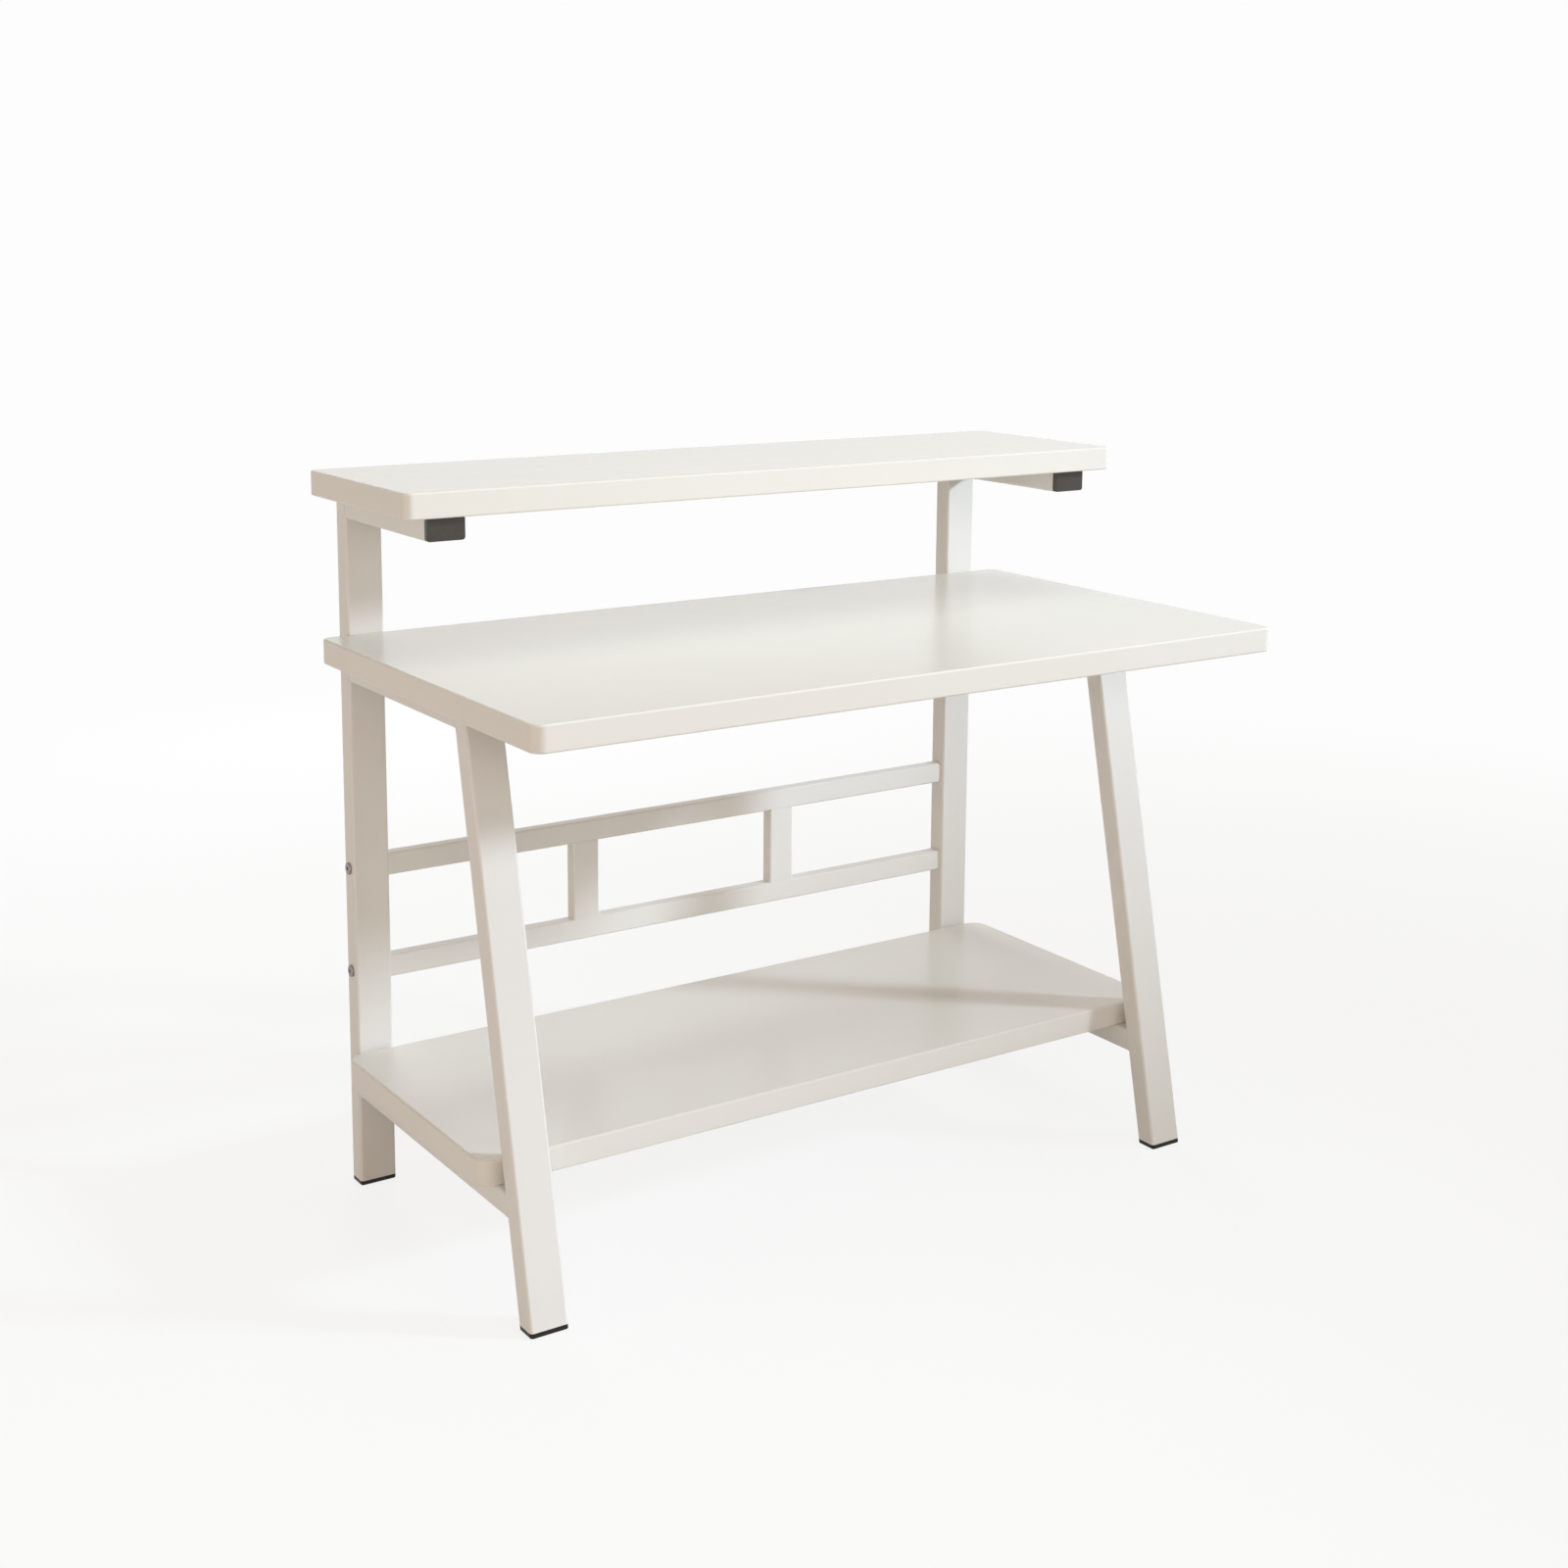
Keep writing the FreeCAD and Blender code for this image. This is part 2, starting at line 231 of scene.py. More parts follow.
# Soft boxes, and whether the gloss shows them
SOFT_BOXES = {
    "fill_lamp": {
        "place": Vector((0.5, -4.2, 1.95)), "size": 1.2,
        "power": 20.5, "colour": (0.88, 0.95, 1.0), "glints": False,
    },
    "front_lamp": {
        "place": Vector((-1.9, -3.2, 1.6)), "size": 1.6,
        "power": 25, "colour": (1.0, 0.87, 0.80), "glints": True,
    },
    "top_lamp": {
        "place": Vector((0.3, -0.6, 3.4)), "size": 2.4,
        "power": 29, "colour": (0.895, 1.0, 0.965), "glints": True,
    },
    "left_lamp": {
        "place": Vector((-3.4, 0.2, 0.9)), "size": 1.8,
        "power": 19, "colour": (1.0, 0.93, 0.84), "glints": False,
    },
    "back_lamp": {
        "place": Vector((0.9, 3.6, 0.9)), "size": 1.8,
        "power": 84, "colour": (0.89, 0.945, 1.0), "glints": False,
    },
}


# Modelling by hand in edit mode

def select_only(*pieces):
    """Selects these pieces and nothing else, the first of them active."""
    bpy.ops.object.select_all(action="DESELECT")
    for piece in pieces:
        piece.select_set(True)
    bpy.context.view_layer.objects.active = pieces[0]


def start_block(name, low, high):
    """A plain block between two corners, left in edit mode to be shaped."""
    bpy.ops.object.select_all(action="DESELECT")
    bpy.ops.mesh.primitive_cube_add(size=1, location=(low + high) / 2)
    block = bpy.context.object
    block.name = name
    block.scale = high - low
    bpy.ops.object.transform_apply(location=True, rotation=True, scale=True)
    bpy.ops.object.mode_set(mode="EDIT")
    return block


def choose(piece, kind, test):
    """Selects only the faces or edges of a piece in edit mode for which the test holds."""
    bpy.ops.mesh.select_mode(type=kind)
    bpy.ops.mesh.select_all(action="DESELECT")
    mesh = bmesh.from_edit_mesh(piece.data)
    items = {"EDGE": mesh.edges, "FACE": mesh.faces}[kind]
    for item in items:
        if test(item):
            item.select_set(True)
    mesh.select_flush_mode()
    bmesh.update_edit_mesh(piece.data)


def runs_along(axis):
    """Test for edges that lie along an axis."""
    def test(edge):
        span = edge.verts[1].co - edge.verts[0].co
        return abs(span.normalized()[axis]) > PARALLEL
    return test


def faces(direction):
    """Test for faces that look in a direction."""
    return lambda face: face.normal.dot(direction) > PARALLEL


def ends_of(axis, closeness=PARALLEL):
    """Test for faces that look along an axis, either way."""
    return lambda face: abs(face.normal[axis]) > closeness


def rims(direction):
    """Test for the edges between a face that looks in a direction and its sides."""
    looks = faces(direction)
    return lambda edge: sum(looks(face) for face in edge.link_faces) == 1


def is_open(edge):
    """Test for edges left open by a deleted face."""
    return edge.is_boundary


def round_edges(piece, test, radius, steps):
    """Rounds the edges of a piece that pass a test."""
    choose(piece, "EDGE", test)
    bpy.ops.mesh.bevel(offset=radius, segments=steps, profile=ROUND_PROFILE, affect="EDGES")


def bore_through(piece, ends, wall):
    """Opens the two end faces that pass a test, and joins them by an inner wall."""
    choose(piece, "FACE", ends)
    bpy.ops.mesh.inset(thickness=wall, depth=0, use_even_offset=True)
    bpy.ops.mesh.delete(type="FACE")
    choose(piece, "EDGE", is_open)
    bpy.ops.mesh.bridge_edge_loops()


def extrude_up(rise):
    """Extrudes the selected face upwards."""
    bpy.ops.mesh.extrude_region_move(TRANSFORM_OT_translate={"value": (0, 0, rise)})


def step_out(resize, middle):
    """Extrudes the selected face on the level, wider or narrower about a middle."""
    extrude_up(0)
    bpy.ops.transform.resize(value=resize, center_override=middle)


def leave_edit_mode():
    """Ends the shaping: doubles are merged, and all faces look outwards."""
    bpy.ops.mesh.select_all(action="SELECT")
    bpy.ops.mesh.remove_doubles(threshold=MERGE_DISTANCE)
    bpy.ops.mesh.normals_make_consistent(inside=False)
    bpy.ops.object.mode_set(mode="OBJECT")


def apply_modifier(piece, kind, **settings):
    """Adds a modifier to the selected piece, and applies it."""
    bpy.ops.object.modifier_add(type=kind)
    modifier = piece.modifiers[-1]
    for name, value in settings.items():
        setattr(modifier, name, value)
    bpy.ops.object.modifier_apply(modifier=modifier.name)


def joined(name, parts):
    """Several meshes as one piece."""
    select_only(*parts)
    bpy.ops.object.join()
    piece = bpy.context.object
    piece.name = name
    return piece


def dress(piece, finish, slot, *nodes):
    """Smooths a finished piece, gives it its material, and sets it on the desk in place of its solids."""
    select_only(piece)
    bpy.ops.object.shade_smooth_by_angle(angle=SMOOTH_ANGLE)
    apply_modifier(piece, "WEIGHTED_NORMAL", keep_sharp=True)
    piece.data.materials.clear()
    piece.data.materials.append(finish)
    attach(piece, "root")
    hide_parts(*nodes)


# Shader nodes

class Socket:
    """An output of a shader node that takes part in sums."""

    def __init__(self, nodes, output):
        self.nodes = nodes
        self.output = output

    def math(self, operation, first, second):
        """A Math node on two values, one of them this output."""
        return self.nodes.node("ShaderNodeMath", {"operation": operation}, {0: first, 1: second})

    def __add__(self, other):
        return self.math("ADD", self, other)

    def __radd__(self, other):
        return self.math("ADD", other, self)

    def __mul__(self, other):
        return self.math("MULTIPLY", self, other)

    def __rmul__(self, other):
        return self.math("MULTIPLY", other, self)


class Nodes:
    """The nodes of one material, or of the world."""

    def __init__(self, owner):
        owner.use_nodes = True
        self.tree = owner.node_tree
        self.tree.nodes.clear()

    def node(self, kind, settings=None, inputs=None, output=0):
        """Adds a node: its settings first, then the values or links of its inputs."""
        made = self.tree.nodes.new(kind)
        for name, value in (settings or {}).items():
            setattr(made, name, value)
        for name, value in (inputs or {}).items():
            if isinstance(value, Socket):
                self.tree.links.new(value.output, made.inputs[name])
            else:
                made.inputs[name].default_value = value
        return Socket(self, made.outputs[output]) if made.outputs else None

    def noise(self, scale, detail):
        """Noise over the piece, as many lumps to the metre as its scale."""
        place = self.node("ShaderNodeTexCoord", output="Object")
        return self.node("ShaderNodeTexNoise", {}, {"Vector": place, "Scale": scale, "Detail": detail})

    def tint(self, share, first, second):
        """From the first colour to the second as a share goes from 0 to 1."""
        # A Mix node keeps its colour inputs at 6 and 7, and its colour output at 2
        return self.node("ShaderNodeMix", {"data_type": "RGBA"}, {0: share, 6: first, 7: second}, 2)

    def mixed(self, share, first, second):
        """From the first shader to the second as a share goes from 0 to 1."""
        return self.node("ShaderNodeMixShader", {}, {0: share, 1: first, 2: second})

    def bump(self, height, depth, strength):
        """Surface relief of a depth in metres."""
        return self.node(
            "ShaderNodeBump", {}, {"Height": height, "Distance": depth, "Strength": strength}
        )


# Finishes

def finished(name, build):
    """A material whose shader inputs come from a function of its nodes."""
    material = bpy.data.materials.new(name)
    nodes = Nodes(material)
    shader = nodes.node("ShaderNodeBsdfPrincipled", {}, build(nodes))
    nodes.node("ShaderNodeOutputMaterial", {}, {"Surface": shader})
    return material


def laminate(nodes):
    """Satin cream laminate with a fine pearl grain and faint clouding."""
    cloud = nodes.noise(**LAMINATE_CLOUD)
    grain = nodes.noise(**LAMINATE_GRAIN)
    handling = nodes.noise(**LAMINATE_HANDLING)
    deepening = cloud * LAMINATE_CLOUD_SHARE + grain * LAMINATE_GRAIN_SHARE
    wear = handling * LAMINATE_HANDLING_ROUGHNESS + grain * LAMINATE_GRAIN_ROUGHNESS
    return {
        "Base Color": nodes.tint(deepening, CREAM, CREAM_DEEP),
        "Roughness": wear + LAMINATE_ROUGHNESS,
        "Normal": nodes.bump(grain, **LAMINATE_RELIEF),
    }


def band_plastic(nodes):
    """Satin cream plastic edging, a little less glossy than the laminate."""
    cloud = nodes.noise(**BAND_CLOUD)
    drawn = nodes.noise(**BAND_DRAWN)
    return {
        "Base Color": nodes.tint(cloud, BAND_CREAM, BAND_CREAM_DEEP),
        "Roughness": drawn * BAND_DRAWN_ROUGHNESS + BAND_ROUGHNESS,
        "Normal": nodes.bump(drawn, **BAND_RELIEF),
    }


def powder_coat(nodes):
    """Off-white powder coat with its orange-peel skin."""
    cloud = nodes.noise(**PAINT_CLOUD)
    peel = nodes.noise(**PAINT_PEEL)
    deepening = cloud * PAINT_CLOUD_SHARE + peel * PAINT_PEEL_SHARE
    wear = cloud * PAINT_CLOUD_ROUGHNESS + peel * PAINT_PEEL_ROUGHNESS
    return {
        "Base Color": nodes.tint(deepening, PAINT_WHITE, PAINT_DEEP),
        "Roughness": wear + PAINT_ROUGHNESS,
        "Normal": nodes.bump(peel, **PAINT_RELIEF),
    }


def moulded_black(nodes, clean, dusty):
    """Black moulded plastic with a fine spark-eroded skin and a little dust."""
    skin = nodes.noise(**PLASTIC_SKIN)
    dust = nodes.noise(**PLASTIC_DUST)
    wear = dust * PLASTIC_DUST_ROUGHNESS + skin * PLASTIC_SKIN_ROUGHNESS
    return {
        "Base Color": nodes.tint(dust, clean, dusty),
        "Roughness": wear + PLASTIC_ROUGHNESS,
        "Normal": nodes.bump(skin, **PLASTIC_RELIEF),
    }


def plug_plastic(nodes):
    """Satin black of the end plugs."""
    return moulded_black(nodes, PLUG_BLACK, PLUG_BLACK_DUSTY)


def foot_plastic(nodes):
    """Deeper and duller black of the foot caps."""
    return {
        **moulded_black(nodes, FOOT_BLACK, FOOT_BLACK_DUSTY),
        "Specular IOR Level": FOOT_SPECULAR_LEVEL,
    }


def blackened_steel(nodes):
    """Dark steel of the bolts, rubbed in places."""
    rubbing = nodes.noise(**BOLT_RUBBING)
    return {
        "Base Color": nodes.tint(rubbing, BOLT_DARK, BOLT_RUBBED),
        "Roughness": rubbing * BOLT_RUBBING_ROUGHNESS + BOLT_ROUGHNESS,
        "Metallic": BOLT_METALLIC,
        "Normal": nodes.bump(rubbing, **BOLT_RELIEF),
    }


def zinc_plate(nodes):
    """Zinc plate of the hidden inserts and nut blocks."""
    spangle = nodes.noise(**ZINC_SPANGLE)
    return {
        "Base Color": nodes.tint(spangle, ZINC, ZINC_DULL),
        "Roughness": spangle * ZINC_SPANGLE_ROUGHNESS + ZINC_ROUGHNESS,
        "Metallic": ZINC_METALLIC,
        "Normal": nodes.bump(spangle, **ZINC_RELIEF),
    }


cream_laminate = finished("cream_laminate", laminate)
cream_edging = finished("cream_edging", band_plastic)
frame_paint = finished("frame_paint", powder_coat)
plug_black = finished("plug_black", plug_plastic)
foot_black = finished("foot_black", foot_plastic)
dark_bolt = finished("dark_bolt", blackened_steel)
zinc = finished("zinc", zinc_plate)


# Boards

def band_width(board):
    """How wide a board's edge band is, from its outer side to the panel."""
    panel_low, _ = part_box(board + "_board")
    band_low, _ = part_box(board + "_edge_band")
    return panel_low.x - band_low.x


def board_panel(board):
    """The laminated panel inside its edge band, with a hairline seam round its top and underside."""
    low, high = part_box(board + "_board")
    corner = BAND_CORNER[board] - band_width(board)
    panel = start_block(board + "_panel", low, high)
    round_edges(panel, runs_along(Z_AXIS), corner, BOARD_CORNER_STEPS)
    for direction in (UP, DOWN):
        round_edges(panel, rims(direction), SEAM_CHAMFER, CHAMFER_STEPS)
    leave_edit_mode()
    dress(panel, cream_laminate, "board_laminate", board + "_board")


def board_band(board):
    """The soft-edged band round a board."""
    low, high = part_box(board + "_edge_band")
    band = start_block(board + "_band", low, high)
    round_edges(band, runs_along(Z_AXIS), BAND_CORNER[board], BOARD_CORNER_STEPS)
    for direction in (UP, DOWN):
        round_edges(band, rims(direction), BAND_EDGE_ROUND, BAND_EDGE_STEPS)
    bore_through(band, ends_of(Z_AXIS), band_width(board) - BAND_EDGE_ROUND)
    leave_edit_mode()
    dress(band, cream_edging, "edge_band", board + "_edge_band")


# Tubes

post_low, post_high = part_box("left_rear_post")
tube_depth = post_high.y - post_low.y


def leg_slope():
    """How far the front legs run back for each metre that they rise, from the box round one."""
    low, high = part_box("left_front_leg")
    rise, reach = high.z - low.z, high.y - low.y
    square = rise ** 2 - tube_depth ** 2
    half = reach * rise
    return (half - math.sqrt(half ** 2 - square * (reach ** 2 - tube_depth ** 2))) / square


lean_slope = leg_slope()
level_depth = tube_depth * math.hypot(1, lean_slope)


def upright_box(node):
    """Corners of the box that a leaning node would fill if it stood upright on its level section."""
    low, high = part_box(node)
    return low, Vector((high.x, low.y + level_depth, high.z))


def lean_back(piece, foot):
    """Leans an upright piece back from the height of its foot."""
    about = Matrix.Translation(Vector((0, 0, foot)))
    piece.data.transform(about @ Matrix.Shear("XY", 4, (0, lean_slope)) @ about.inverted())


def straight_tube(node, axis, radius, wall):
    """A tube that runs along one axis, square at both ends."""
    low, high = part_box(node)
    piece = start_block(node + "_tube", low, high)
    round_edges(piece, runs_along(axis), radius, ROUND_STEPS)
    bore_through(piece, ends_of(axis), wall)
    leave_edit_mode()
    dress(piece, frame_paint, "frame_paint", node)


def leaning_tube(node):
    """A front leg: a tube drawn upright on its level section, then leaned."""
    low, high = upright_box(node)
    piece = start_block(node + "_tube", low, high)
    round_edges(piece, runs_along(Z_AXIS), TUBE_ROUND, ROUND_STEPS)
    bore_through(piece, ends_of(Z_AXIS), TUBE_WALL)
    leave_edit_mode()
    lean_back(piece, low.z)
    dress(piece, frame_paint, "frame_paint", node)


def bearer_tube(node):
    """A level tube that ends square on the post and slanted on the leg."""
    low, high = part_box(node)
    piece = start_block(node + "_tube", low, high)
    round_edges(piece, runs_along(Y_AXIS), TUBE_ROUND, ROUND_STEPS)
    bpy.ops.mesh.select_all(action="SELECT")
    bpy.ops.mesh.bisect(
        plane_co=(0, low.y, low.z), plane_no=(0, -1, lean_slope), use_fill=True, clear_outer=True
    )
    bore_through(piece, ends_of(Y_AXIS, NEARLY_PARALLEL), TUBE_WALL)
    leave_edit_mode()
    dress(piece, frame_paint, "frame_paint", node)


# Moulded plugs and feet

def finned_plug(name, low, high, head_depth, margin, push):
    """A plug that stands on its outer face, with its finned shank above, left in edit mode.

    Inside a margin the outer face is pushed up into the plug, or out for a push below zero.
    """
    head_top = low.z + head_depth
    plug = start_block(name, low, Vector((high.x, high.y, head_top)))
    round_edges(plug, runs_along(Z_AXIS), TUBE_ROUND, ROUND_STEPS)
    round_edges(plug, rims(DOWN), PLUG_RIM_ROUND, PLUG_RIM_STEPS)
    choose(plug, "FACE", faces(DOWN))
    bpy.ops.mesh.inset(thickness=margin)
    bpy.ops.transform.translate(value=(0, 0, push))
    choose(plug, "FACE", faces(UP))
    bpy.ops.mesh.inset(thickness=SHANK_INSET)
    middle = (low + high) / 2
    half_x = (high.x - low.x) / 2 - SHANK_INSET
    half_y = (high.y - low.y) / 2 - SHANK_INSET
    wider = ((half_x + FIN_DEPTH) / half_x, (half_y + FIN_DEPTH) / half_y, 1)
    narrower = (1 / wider[0], 1 / wider[1], 1)
    pitch = (high.z - head_top) / FIN_COUNT
    for _ in range(FIN_COUNT):
        extrude_up(pitch - FIN_THICKNESS)
        step_out(wider, middle)
        extrude_up(FIN_THICKNESS)
        step_out(narrower, middle)
    return plug


def arm_plug(side):
    """End plug of a shelf arm, with a crowned face, made standing and then laid along the arm."""
    low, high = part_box(side + "_arm_plug")
    arm_low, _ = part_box(side + "_shelf_arm")
    stand_low = SWAP_Y_AND_Z @ low
    stand_high = SWAP_Y_AND_Z @ high
    stand_low.z += PLUG_CROWN
    head_depth = arm_low.y - stand_low.z
    plug = finned_plug(
        side + "_arm_end_plug", stand_low, stand_high, head_depth, PLUG_CROWN_MARGIN, -PLUG_CROWN
    )
    leave_edit_mode()
    # The swap mirrors the plug, so its faces are turned outwards again
    plug.data.transform(SWAP_Y_AND_Z)
    plug.data.flip_normals()
    dress(plug, plug_black, "black_plastic", side + "_arm_plug")


def foot_cap(name, low, high, tube):
    """A cap under an upright tube, hollowed a little under its sole, left in edit mode."""
    tube_low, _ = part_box(tube)
    return finned_plug(name, low, high, tube_low.z - low.z, SOLE_RECESS_MARGIN, SOLE_RECESS)


def rear_foot(side):
    """Foot cap of a post."""
    low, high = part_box(side + "_rear_foot")
    foot = foot_cap(side + "_rear_foot_cap", low, high, side + "_rear_post")
    leave_edit_mode()
    dress(foot, foot_black, "black_plastic", side + "_rear_foot")


def front_foot(side):
    """Foot cap of a leaning leg."""
    low, high = upright_box(side + "_front_foot")
    foot = foot_cap(side + "_front_foot_cap", low, high, side + "_front_leg")
    leave_edit_mode()
    lean_back(foot, low.z)
    dress(foot, foot_black, "black_plastic", side + "_front_foot")


# Bolts

def model_bolt(length):
    """A round-headed bolt with a hexagon socket, its head down and its seat at the origin."""
    bpy.ops.object.select_all(action="DESELECT")
    bpy.ops.mesh.primitive_cylinder_add(
        vertices=BOLT_SOCKET_SIDES, radius=BOLT_SOCKET_RADIUS, depth=2 * BOLT_SOCKET_DEPTH,
        location=(0, 0, -BOLT_HEAD_THICKNESS),
    )
    key = bpy.context.object
    bpy.ops.mesh.primitive_cylinder_add(
        vertices=BOLT_SIDES, radius=BOLT_HEAD_RADIUS, depth=BOLT_HEAD_THICKNESS,
        location=(0, 0, -BOLT_HEAD_THICKNESS / 2),
    )
    bolt = bpy.context.object
    bpy.ops.object.transform_apply(location=True, rotation=True, scale=True)
    bpy.ops.object.mode_set(mode="EDIT")
    round_edges(bolt, rims(DOWN), BOLT_RIM_ROUND, BOLT_RIM_STEPS)
    choose(bolt, "FACE", faces(UP))
    bpy.ops.mesh.inset(thickness=BOLT_HEAD_RADIUS - BOLT_SHANK_RADIUS)
    extrude_up(length)
    leave_edit_mode()
    select_only(bolt)
    apply_modifier(bolt, "BOOLEAN", operation="DIFFERENCE", object=key)
    bpy.data.objects.remove(key)
    return bolt


def copied(bolt, turn, place):
    """A copy of a bolt with its own mesh, turned and put in its place."""
    select_only(bolt)
    bpy.ops.object.duplicate(linked=False)
    copy = bpy.context.object
    copy.data.transform(Matrix.Translation(place) @ turn)
    return copy


def board_bolts(board):
    """The four bolts under a board, with their heads on the underside of its tubes."""
    low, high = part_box(board + "_bolts")
    seat = low.z + BOLT_HEAD_THICKNESS
    bolt = model_bolt(high.z - seat)
    upright = Matrix.Identity(4)
    set_in = BOLT_HEAD_RADIUS
    copies = [
        copied(bolt, upright, Vector((x, y, seat)))
        for x in (low.x + set_in, high.x - set_in)
        for y in (low.y + set_in, high.y - set_in)
    ]
    bpy.data.objects.remove(bolt)
    dress(joined(board + "_bolt_set", copies), dark_bolt, "dark_bolt", board + "_bolts")


def rail_bolts():
    """The four bolts through the posts into the ends of the rails."""
    low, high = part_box("rail_bolts")
    middle_y = (low.y + high.y) / 2
    seat_x = high.x - BOLT_HEAD_THICKNESS
    bolt = model_bolt(RAIL_BOLT_LENGTH)
    copies = []
    for side in (-1, 1):
        inward = Matrix.Rotation(-side * math.pi / 2, 4, "Y")
        for height in (low.z + BOLT_HEAD_RADIUS, high.z - BOLT_HEAD_RADIUS):
            copies.append(copied(bolt, inward, Vector((side * seat_x, middle_y, height))))
    bpy.data.objects.remove(bolt)
    dress(joined("rail_bolt_set", copies), dark_bolt, "dark_bolt", "rail_bolts")


# Weld beads

def weld_run(start, end, radius):
    """A rippled bead of weld from one point to another, with two points to a ripple."""
    ripples = max(BEAD_LEAST_RIPPLES, round((end - start).length / BEAD_RIPPLE_PITCH))
    last = 2 * ripples
    curve = bpy.data.curves.new("weld_run", "CURVE")
    curve.dimensions = "3D"
    curve.bevel_depth = radius
    curve.bevel_resolution = BEAD_ROUND_STEPS
    curve.use_fill_caps = True
    line = curve.splines.new("POLY")
    line.points.add(last)
    for number, point in enumerate(line.points):
        swell = BEAD_RIPPLE_SHARE if number % 2 else -BEAD_RIPPLE_SHARE
        point.co = (*start.lerp(end, number / last), 1)
        point.radius = BEAD_END_SHARE if number in (0, last) else 1 + swell
    run = bpy.data.objects.new("weld_run", curve)
    bpy.context.scene.collection.objects.link(run)
    select_only(run)
    bpy.ops.object.convert(target="MESH")
    return bpy.context.object


def joint_beads(low, high, end_y, slope, into):
    """Beads where a level tube ends on an upright one: both flush sides, and the corner below.

    The joint starts at end_y and runs back by the slope as it rises. The upright tube is behind it
    where into is 1, and in front where into is -1.
    """
    def at(x, z, y_shift):
        return Vector((x, end_y + (z - low.z) * slope + y_shift, z))

    runs = []
    side_shift = into * SEAM_BEAD_REACH
    for x in (low.x + SEAM_BEAD_SET_IN, high.x - SEAM_BEAD_SET_IN):
        bottom = at(x, low.z + TUBE_ROUND / 2, side_shift)
        top = at(x, high.z - TUBE_ROUND / 2, side_shift)
        runs.append(weld_run(bottom, top, SEAM_BEAD_RADIUS))
    left = at(low.x + TUBE_ROUND, low.z, 0)
    right = at(high.x - TUBE_ROUND, low.z, 0)
    runs.append(weld_run(left, right, BEAD_RADIUS))
    return runs


def side_frame_welds(side):
    """All the beads of one side frame."""
    runs = []
    for node in ("shelf_arm", "desk_bearer", "shelf_bearer"):
        low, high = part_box(f"{side}_{node}")
        runs += joint_beads(low, high, high.y, 0, 1)
        if node != "shelf_arm":
            runs += joint_beads(low, high, low.y, lean_slope, -1)
    dress(joined(side + "_frame_welds", runs), frame_paint, "frame_paint")


def strut_welds():
    """The beads round both ends of the two struts."""
    runs = []
    radius = BEAD_RADIUS * STRUT_BEAD_SHARE
    for side in SIDES:
        low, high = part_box(side + "_back_strut")
        for z, into in ((low.z, -1), (high.z, 1)):
            seam_z = z + into * SEAM_BEAD_REACH
            for y in (low.y + SEAM_BEAD_SET_IN, high.y - SEAM_BEAD_SET_IN):
                left = Vector((low.x + RAIL_ROUND / 2, y, seam_z))
                right = Vector((high.x - RAIL_ROUND / 2, y, seam_z))
                runs.append(weld_run(left, right, radius))
            for x in (low.x, high.x):
                fore = Vector((x, low.y + RAIL_ROUND, z))
                aft = Vector((x, high.y - RAIL_ROUND, z))
                runs.append(weld_run(fore, aft, radius))
    dress(joined("back_frame_welds", runs), frame_paint, "frame_paint")


# The desk, piece by piece

for board in BOARDS:
    board_panel(board)
    board_band(board)
    board_bolts(board)

for side in SIDES:
    straight_tube(side + "_rear_post", Z_AXIS, TUBE_ROUND, TUBE_WALL)
    straight_tube(side + "_shelf_arm", Y_AXIS, TUBE_ROUND, TUBE_WALL)
    straight_tube(side + "_back_strut", Z_AXIS, RAIL_ROUND, RAIL_WALL)
    leaning_tube(side + "_front_leg")
    bearer_tube(side + "_desk_bearer")
    bearer_tube(side + "_shelf_bearer")
    arm_plug(side)
    rear_foot(side)
    front_foot(side)
    side_frame_welds(side)

for rail in RAILS:
    straight_tube(rail, X_AXIS, RAIL_ROUND, RAIL_WALL)
rail_bolts()
strut_welds()

for hidden in ZINC_PIECES:
    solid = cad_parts[hidden]
    solid.data.materials.clear()
    solid.data.materials.append(zinc)


# Studio: pale floor, white surroundings and soft lamps

def seen_directly(nodes):
    """1 for rays from the camera, and for those that gloss or glass sends on."""
    camera, gloss, glass = (
        nodes.node("ShaderNodeLightPath", output=name)
        for name in ("Is Camera Ray", "Is Glossy Ray", "Is Transmission Ray")
    )
    return nodes.node("ShaderNodeClamp", {}, {"Value": camera + gloss + glass})


def white_surroundings():
    """A world that is white to look at, and lights the desk softly."""
    world = bpy.data.worlds.new("white_studio")
    bpy.context.scene.world = world
    nodes = Nodes(world)
    ambient = nodes.node(
        "ShaderNodeBackground", {}, {"Color": AMBIENT_COLOUR, "Strength": AMBIENT_LEVEL}
    )
    white = nodes.node("ShaderNodeBackground", {}, {"Color": WHITE, "Strength": WHITE_LEVEL})
    sky = nodes.mixed(seen_directly(nodes), ambient, white)
    nodes.node("ShaderNodeOutputWorld", {}, {"Surface": sky})


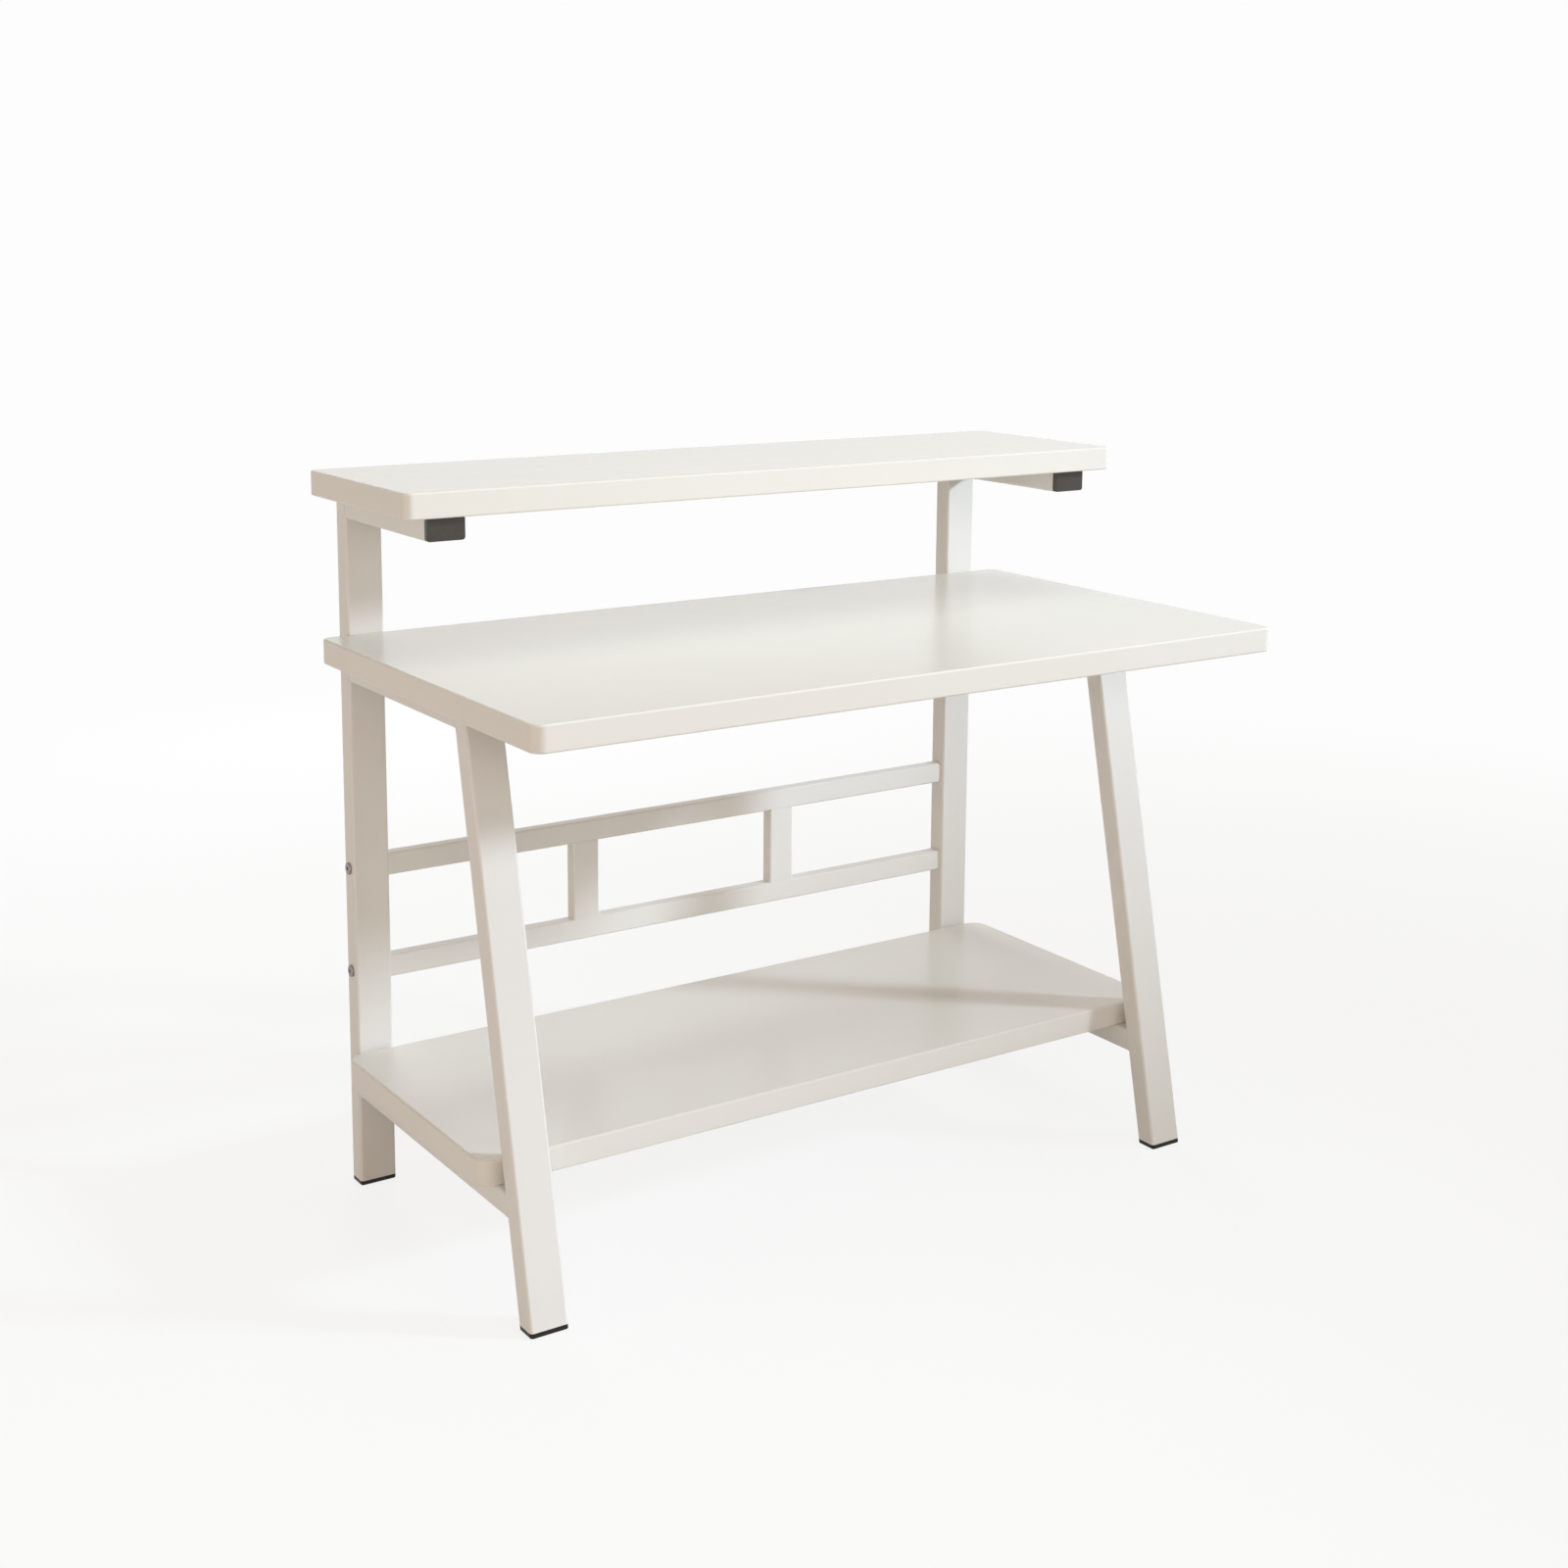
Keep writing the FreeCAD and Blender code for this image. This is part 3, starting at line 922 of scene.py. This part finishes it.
def pale_floor():
    """A floor that keeps a faint shadow round the desk, and is plain white farther off."""
    bpy.ops.object.select_all(action="DESELECT")
    bpy.ops.mesh.primitive_plane_add(size=FLOOR_SIZE, location=(0, 0, -FLOOR_DROP))
    floor = bpy.context.object
    floor.name = "floor"
    material = bpy.data.materials.new("pale_floor")
    nodes = Nodes(material)
    seen = seen_directly(nodes)
    colour = nodes.tint(seen, FLOOR_GLOW_COLOUR, FLOOR_COLOUR)
    paint = nodes.node("ShaderNodeBsdfDiffuse", {}, {"Color": colour})
    white = nodes.node("ShaderNodeEmission", {}, {"Color": WHITE, "Strength": WHITE_LEVEL})
    place = nodes.node("ShaderNodeNewGeometry", output="Position")
    distance = nodes.node("ShaderNodeVectorMath", {"operation": "LENGTH"}, {0: place}, "Value")
    whiteness = nodes.node("ShaderNodeMapRange", {"interpolation_type": "SMOOTHSTEP"}, {
        "Value": distance, "From Min": FLOOR_SHADOW_NEAR, "From Max": FLOOR_SHADOW_FAR,
        "To Min": FLOOR_WHITE_SHARE, "To Max": 1.0,
    })
    surface = nodes.mixed(seen * whiteness, paint, white)
    nodes.node("ShaderNodeOutputMaterial", {}, {"Surface": surface})
    floor.data.materials.append(material)


def aimed_lamp(kind, name, place, target, power, colour, glints):
    """A lamp that looks at a point, and may be kept out of the gloss."""
    bpy.ops.object.light_add(type=kind, location=place)
    lamp = bpy.context.object
    lamp.name = name
    lamp.data.energy = power
    lamp.data.color = colour
    lamp.visible_glossy = glints
    lamp.rotation_euler = (target - place).to_track_quat("-Z", "Y").to_euler()
    return lamp.data


def key_lamp():
    """A wide round lamp that looks over the desk, so that its light fades at the desk's low right."""
    key = aimed_lamp("SPOT", "key_lamp", KEY_PLACE, KEY_TARGET, KEY_POWER, KEY_COLOUR, False)
    key.shadow_soft_size = KEY_RADIUS
    key.spot_size = KEY_CONE
    key.spot_blend = KEY_EDGE_BLEND


def soft_box(name, place, size, power, colour, glints):
    """A square soft box that looks at the middle of the desk."""
    box = aimed_lamp("AREA", name, place, desk_middle, power, colour, glints)
    box.shape = "SQUARE"
    box.size = size


def photograph_camera():
    """The photograph's own camera."""
    forward = Vector((
        math.sin(CAMERA_YAW) * math.cos(CAMERA_PITCH),
        math.cos(CAMERA_YAW) * math.cos(CAMERA_PITCH),
        math.sin(CAMERA_PITCH),
    ))
    level = Vector((math.cos(CAMERA_YAW), -math.sin(CAMERA_YAW), 0))
    upright = level.cross(forward)
    right = level * math.cos(CAMERA_ROLL) + upright * math.sin(CAMERA_ROLL)
    up = upright * math.cos(CAMERA_ROLL) - level * math.sin(CAMERA_ROLL)
    bpy.ops.object.camera_add()
    camera = bpy.context.object
    turn = Matrix((right, up, -forward)).transposed().to_4x4()
    camera.matrix_world = Matrix.Translation(CAMERA_PLACE) @ turn
    camera.data.sensor_width = SENSOR_MM
    camera.data.lens = FOCAL_PIXELS / PICTURE_PIXELS * SENSOR_MM
    camera.data.shift_y = (AXIS_ROW_PIXELS - PICTURE_PIXELS / 2) / PICTURE_PIXELS
    bpy.context.scene.camera = camera


white_surroundings()
pale_floor()
key_lamp()
for name, settings in SOFT_BOXES.items():
    soft_box(name, **settings)
photograph_camera()
bpy.context.scene.view_settings.view_transform = "Standard"
